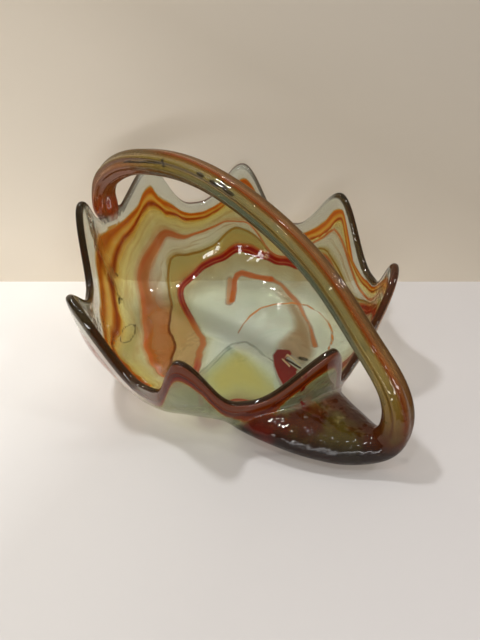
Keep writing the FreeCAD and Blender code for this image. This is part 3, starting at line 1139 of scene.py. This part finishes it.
# %% Threads and marks in the bowl
def lay_threads(coat, streak, fibre, wander):
    """The narrow threads, each by its own distance, with a soft edge of a millimetre or two."""
    def beside(name):
        return times_plus(wander, 2.5, attribute(name))

    soft = ease(fibre, 0.35, 0.6, 0.45, 0.85)
    away = size_of(beside("terracotta"))
    coat.lay(paint(196, 130, 76, 0.7), ease(away, 6.5, 2.0), 0.8)
    coat.lay(paint(184, 102, 48, 0.6), ease(away, 3.6, 1.2), soft)
    rusty = attribute("rusty_side")
    for starts, ends, tone in (((2.92, 3.1), (4.04, 3.96), paint(166, 106, 46, 0.65)),
                               ((3.98, 4.04), (5.02, 4.96), paint(176, 150, 100, 0.75))):
        coat.lay(tone, ease(streak, *starts), ease(streak, *ends), rusty, 0.9)
    line_tone = blend_colour(rusty, paint(146, 108, 34), paint(112, 48, 16))
    coat.lay(line_tone, ease(size_of(beside("olive_ring")), 1.9, 0.5), 0.85)
    away = beside("red_ring")
    band_tone = blend_colour(rusty, paint(176, 82, 42), paint(170, 104, 48))
    coat.lay(band_tone, ease(size_of(away), 5.0, 1.5), 0.85)
    crisp = minus(1.0, rusty)
    for place, breadth in ((0.0, 1.1), (3.4, 0.8)):
        near = ease(size_of(minus(away, place)), breadth + 0.9, breadth - 0.3)
        coat.lay(paint(146, 38, 18, 0.4), near, crisp, 0.95)
    front = attribute("brown_front")
    below = times_plus(wander, 4.0, attribute("below_lip"))
    band_tone = blend_colour(ease(below, 4.0, 7.0), paint(140, 72, 18), paint(116, 48, 14))
    band_tone = blend_colour(ease(below, 8.0, 11.0), band_tone, paint(146, 64, 26))
    coat.lay(band_tone, ease(below, 16.0, 12.0), front, 0.9)
    coat.lay(paint(190, 196, 170, 0.9), ease(below, 13.0, 17.0), ease(streak, 5.1, 4.8), front, 0.85)


FLOOR_MARKS = (                 # where a mark fades, where it is full, its tone and its weight
    ("grey_line", 2.2, 0.6, paint(120, 130, 110, 0.7), 0.6),
    ("thin_arc", 1.5, 0.4, paint(184, 116, 34, 0.6), 0.9),
    ("hook_tail", 3.6, 0.8, paint(170, 104, 42, 0.6), 0.85),
    ("hook_leg", 6.0, 1.5, paint(176, 122, 72, 0.6), 0.75),
    ("hook", 4.4, 1.8, paint(182, 104, 40, 0.55), 0.9),
)


def lay_marks(coat, streak, wander):
    """The hook, the thin arc, the patches on the floor of the bowl and the seeds."""
    coat.lay(paint(208, 206, 152, 0.88), ease(attribute("green_patch"), 8.0, -18.0),
             ease(streak, 5.0, 5.4))
    coat.lay(paint(152, 120, 70, 0.7), ease(attribute("brown_patch"), 4.0, -8.0), 0.8)
    shift = times(wander, 3.0)
    for name, low, high, tone, weight in FLOOR_MARKS:
        coat.lay(tone, ease(plus(attribute(name), shift), low, high), weight)
    coat.lay(paint(134, 34, 12, 0.4), ease(attribute("red_crescent"), 2.6, 0.4))
    coat.lay(paint(214, 200, 160, 0.6), ease(attribute("slit_edge"), 1.4, 0.5), 0.8)
    coat.lay(paint(60, 24, 8, 0.3), ease(attribute("slit"), 1.9, 0.7))
    coat.lay(paint(70, 70, 52, 0.4), ease(attribute("dark_spot"), 3.2, 1.4), 0.9)
    coat.lay(paint(74, 62, 30, 0.6), ease(size_of(attribute("seed")), 1.3, 0.5), 0.8)


# %% [markdown]
# The rod was drawn out of glass of several colours, so its stripes run along it. They are laid by
# the angle round the rod, which its grid kept, and a little noise makes them waver. The tail is
# thick and looks dark, mahogany with olive patches and dark red where light comes through; its
# lowest part is painted nearly black as shade.

# %% Tail and handle
def rod_coat(here, height, run, on_tail):
    """Stripes along the handle with a painted highlight; on the tail mahogany with olive patches,
    and painted shade towards its underside; terracotta at the far end.
    """
    stripe_x, stripe_y = attribute("stripe_x"), attribute("stripe_y")
    angle = reckon("ARCTAN2", stripe_y, stripe_x)
    turn = times(reckon("FRACT", over(angle, 2 * math.pi)), 360.0)
    drawn_out = vector_of(stripe_x, stripe_y, times(run, 3.0))
    grain = minus(cloud(drawn_out, 3.0, 2.0), 0.5)
    coat = Coat(*ramp(times_plus(grain, 20.0, turn), STRIPES, 360.0))
    coat.lay(paint(96, 44, 14, 0.6), on_tail)
    coat.lay(paint(124, 108, 44, 0.65), on_tail, ease(cloud(here, 30.0), 0.46, 0.62), 0.85)
    # Painted shade: the tail is painted nearly black towards its underside.
    coat.lay(paint(26, 14, 6, 0.6), on_tail, ease(height, 0.037, 0.021), 0.94)
    flame = ease(cloud(steer("ADD", here, (0.3, 0.1, 0.2)), 24.0), 0.56, 0.66)
    coat.lay(paint(104, 20, 8, 0.5), on_tail, flame, ease(height, 0.036, 0.026), 0.85)
    coat.lay(paint(148, 74, 30, 0.5), ease(run, 0.68, 0.76), ease(turn, 196.0, 150.0), 0.85)
    coat.lay(paint(146, 60, 18, 0.5), ease(run, 0.84, 0.92), 0.85)
    low_half = both(ease(run, 0.68, 0.58), ease(run, 0.38, 0.46))
    teal = ease(turn, 108.0, 122.0), ease(turn, 160.0, 150.0)
    coat.lay(paint(88, 114, 98, 0.65), *teal, low_half, 0.85)
    # Painted highlight: a pale stripe on the lower half of the handle.
    painted_gleam = ease(turn, 172.0, 180.0), ease(turn, 206.0, 196.0)
    coat.lay(paint(178, 174, 112, 0.8), *painted_gleam, low_half, 0.8)
    khaki = ease(turn, 188.0, 204.0), ease(turn, 250.0, 236.0)
    coat.lay(paint(116, 100, 54, 0.65), ease(run, 0.66, 0.72), *khaki, 0.85)
    rough = times(cloud(here, 260.0), 2.0)
    for name, low, high in (("core_line", 2.4, 1.5), ("specks", 3.6, 2.4)):
        coat.lay(paint(36, 25, 12, 0.3), ease(plus(attribute(name), rough), low, high), 0.95)
    return coat


# %% [markdown]
# The colour lies on the inner skin and the outer skin stays nearly clear, because a wall that was
# painted twice would look too dark. The lip's bead gathers the colour of the whole wall, so it is
# dark where the wall below it is seen along its length; part of that dark brown is painted shade,
# which stands in for the dark room seen through the bead.

# %% Lip, skins and outside
def bowl_coat(here):
    """Clear glass with its zones and marks; also where the lip's bead is dark."""
    wander = minus(cloud(here, 38.0, 1.0), 0.5)
    streak = times_plus(wander, 0.12, attribute("streak"))
    along_ring = scaled(steer("NORMALIZE", level_part(here)), 2.2)
    fibre = cloud(steer("ADD", along_ring, vector_of(0.0, 0.0, times(streak, 4.5))), 1.6, 2.0)
    coat = Coat(*ramp(streak, ZONES, 6.0))
    banded = both(ease(streak, 1.9, 2.2), ease(streak, 5.3, 4.9))
    coat.lay(paint(194, 156, 86, 0.75), ease(fibre, 0.50, 0.68), banded, 0.45)
    lay_threads(coat, streak, fibre, wander)
    lay_marks(coat, streak, wander)
    inner, front = attribute("inner"), attribute("brown_front")
    skin = greater(ease(inner, 0.35, 0.65), front)
    deeper = made("ShaderNodeGamma", {0: coat.colour, 1: 1.5})
    coat.colour = blend_colour(skin, paint(238, 240, 234), deeper)
    coat.clear = blend_number(skin, 0.98, times(coat.clear, coat.clear))
    ridge, below = attribute("ridge"), attribute("below_lip")
    # Painted shade: a thin dark line along the ridge of the bead stands in for the dark room seen through
    # it.
    coat.lay(paint(92, 50, 28, 0.55), ease(ridge, 0.62, 0.35), 0.9)
    edge = greater(both(ease(below, 3.2, 0.4), ease(inner, 0.4, 0.6)), ease(ridge, 0.8, 0.5))
    edge = blend_number(front, edge, ease(ridge, 0.55, 0.3))
    # Painted sheen: a pale, milky strip on the outside of the wall, below the broad bead, stands in for the
    # light that the clear glass reflects there.
    outside = both(ease(inner, 0.5, 0.3), attribute("broad_bead"))
    coat.lay(paint(232, 228, 212, 0.35), outside, ease(below, 30.0, 20.0), 0.85)
    edge = greater(edge, both(outside, ease(below, 8.5, 5.5)))
    # The bead's dark brown: partly the colour of thick tinted glass, partly painted shade of the dark room
    # seen through it.
    dark_bead = both(edge, attribute("dark_bead"))
    coat.lay(blend_colour(attribute("warm_bead"), paint(50, 36, 14), paint(82, 42, 16)), dark_bead)
    coat.lay(paint(128, 24, 12, 0.3), ease(attribute("throat"), 3.0, 0.6), 0.9)
    return coat, greater(both(front, ease(below, 17.0, 13.0)), dark_bead)


# %% The streaked glass
def build_glass():
    Bench.tree = glass.node_tree
    glass.node_tree.nodes.clear()
    here = add_node("ShaderNodeTexCoord").outputs["Object"]
    height, run, drawn = height_of(here), attribute("run"), attribute("drawn")
    on_tail = ease(run, 0.42, 0.30)
    bowl, dark_edge = bowl_coat(here)
    rod = rod_coat(here, height, run, on_tail)
    tail = both(drawn, on_tail)
    gloss = blend_number(drawn, blend_number(dark_edge, 0.42, 0.14), blend_number(on_tail, 0.26, 0.08))
    dull = both(tail, ease(height, 0.030, 0.022))
    fine = times(cloud(here, 150.0, 1.0), blend_number(tail, 0.45, 0.9))
    ripple = made("ShaderNodeBump", {"Strength": blend_number(tail, 0.45, 1.0), "Distance": 0.0012,
                                     "Height": plus(cloud(here, 45.0, 2.0), fine)})
    shader = made("ShaderNodeBsdfPrincipled", {
        "Base Color": blend_colour(drawn, bowl.colour, rod.colour),
        "Transmission Weight": blend_number(drawn, bowl.clear, rod.clear),
        "IOR": 1.5, "Specular IOR Level": gloss, "Roughness": blend_number(dull, 0.03, 0.26),
        "Normal": ripple})
    shadow = made("ShaderNodeBsdfTransparent", {0: (0.55, 0.53, 0.50, 1.0)})
    in_shadow = add_node("ShaderNodeLightPath").outputs["Is Shadow Ray"]
    mix = made("ShaderNodeMixShader", {0: in_shadow, 1: shader, 2: shadow})
    feed(add_node("ShaderNodeOutputMaterial").inputs[0], mix)


build_glass()
basket.data.materials.clear()
basket.data.materials.append(glass)
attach(basket, "root")
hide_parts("basket")
print("glass has", len(glass.node_tree.nodes), "nodes")

# %% [markdown]
# ## The table, the wall and the light
# A white table meets a beige wall, and their colour ramps paint both brighter on the left, where
# the light comes from: this is painted light. The room gives soft light from above and is darker to
# the sides, which draws dark edges in the glass.

# %% Table and wall
AWAY = Vector((-0.656, 0.755, 0.0))
RIGHT = Vector((0.755, 0.656, 0.0))
UP = Vector((0.0, 0.0, 1.0))
TABLE_DROP = -0.6 * MM
WALL_DISTANCE = 0.553           # from below the camera to where table and wall meet
WALL_TOP = 1.1
# Painted light: the table and wall tones run from bright on the left to darker on the right.
TABLE_TONES = ((-0.28, 238, 234, 229), (-0.15, 226, 222, 217), (-0.03, 202, 197, 192),
               (0.12, 196, 191, 187), (0.25, 198, 193, 190), (0.6, 204, 199, 197))
WALL_TONES = ((-0.09, 234, 222, 203), (0.16, 206, 194, 176), (0.24, 191, 179, 161),
              (0.36, 188, 177, 161), (0.8, 176, 166, 151))


def plain_surface(name, corners, direction, stops):
    """One face, painted with a ramp along a direction; the stops are metres from the origin."""
    surface = mesh_object(name, corners, [(0, 1, 2, 3)])
    material = bpy.data.materials.new(name)
    material.use_nodes = True
    tree = Bench.tree = material.node_tree
    shader = tree.nodes["Principled BSDF"]
    shader.inputs["Roughness"].default_value = 0.6
    here = add_node("ShaderNodeTexCoord").outputs["Object"]
    along = plus(steer("DOT_PRODUCT", here, direction), 1.0)
    feed(shader.inputs["Base Color"], ramp(along, [(stop[0] + 1.0, *stop[1:]) for stop in stops], 2.0)[0])
    from_behind = add_node("ShaderNodeNewGeometry").outputs["Backfacing"]
    clear = add_node("ShaderNodeBsdfTransparent").outputs[0]
    mix = made("ShaderNodeMixShader", {0: from_behind, 1: shader.outputs[0], 2: clear})
    feed(tree.nodes["Material Output"].inputs[0], mix)
    surface.data.materials.append(material)


meet = Vector((CAMERA_PLACE.x, CAMERA_PLACE.y, TABLE_DROP)) + AWAY * WALL_DISTANCE
near, far, wide = meet - AWAY * 2.2, meet + AWAY * 1.6, RIGHT * 1.5
high = UP * (WALL_TOP - TABLE_DROP) + AWAY * 0.16
plain_surface("white_table", [near - wide, near + wide, far + wide, far - wide],
              RIGHT - AWAY * 0.5, TABLE_TONES)
plain_surface("beige_wall", [meet - wide, meet + wide, meet + wide + high, meet - wide + high],
              RIGHT * 0.55 + UP, WALL_TONES)


# %% Lamps
def area_lamp(name, place, target, size, power, along=None):
    """Rectangular lamp that faces a target; along is the direction of its long side."""
    data = bpy.data.lights.new(name, "AREA")
    data.shape = "RECTANGLE"
    data.size, data.size_y = size
    data.energy = power
    back = (Vector(place) - Vector(target)).normalized()
    side = Vector(along or (back.y, -back.x, 0.0))
    side = (side - back * side.dot(back)).normalized()
    lamp = in_scene(name, data)
    lamp.location = place
    lamp.rotation_euler = Matrix((side, back.cross(side), back)).transposed().to_euler()
    lamp.visible_camera = False


ABOVE_TABLE = (0, 0, 0.05)
area_lamp("lamp_above", (-0.34, -0.20, 1.15), (0.03, 0, 0.05), (0.10, 0.08), 7.3)
area_lamp("window", (0.68, -0.77, 0.29), (-0.05, 0.05, 0.06), (0.9, 0.08), 3.6, (0.81, 1.11, 0.45))
area_lamp("lamp_front", (0.20, -0.80, 1.6), ABOVE_TABLE, (0.12, 0.10), 3.6)
area_lamp("lamp_right", (0.80, 0.40, 0.95), ABOVE_TABLE, (0.12, 0.10), 2.1)
CEILING_LAMPS = ((0.35, 0.55, 1.3), (-0.55, 0.35, 1.2), (0.55, -0.35, 1.35), (-0.15, -0.75, 1.25),
                 (0.9, 0.0, 1.1))
for number, place in enumerate(CEILING_LAMPS):
    area_lamp("ceiling_lamp_%d" % number, place, ABOVE_TABLE, (0.025, 0.025), 0.3)

# %% The room
ROOM_TONES = ((0.0, 110, 108, 105), (0.95, 62, 60, 58), (1.2, 98, 96, 94), (1.6, 146, 145, 143),
              (2.0, 172, 171, 169))
world = bpy.data.worlds.new("room")
bpy.context.scene.world = world
world.use_nodes = True
Bench.tree = world.node_tree
height = height_of(add_node("ShaderNodeTexCoord").outputs["Generated"])
tone = ramp(plus(height, 1.0), ROOM_TONES, 2.0)[0]
seen = add_node("ShaderNodeLightPath").outputs
share = times_plus(seen["Is Transmission Ray"], 0.4, seen["Is Camera Ray"])
background = world.node_tree.nodes["Background"]
feed(background.inputs[0], blend_colour(share, tone, paint(214, 204, 188)))
background.inputs[1].default_value = 1.0
bpy.context.scene.view_settings.view_transform = "Standard"
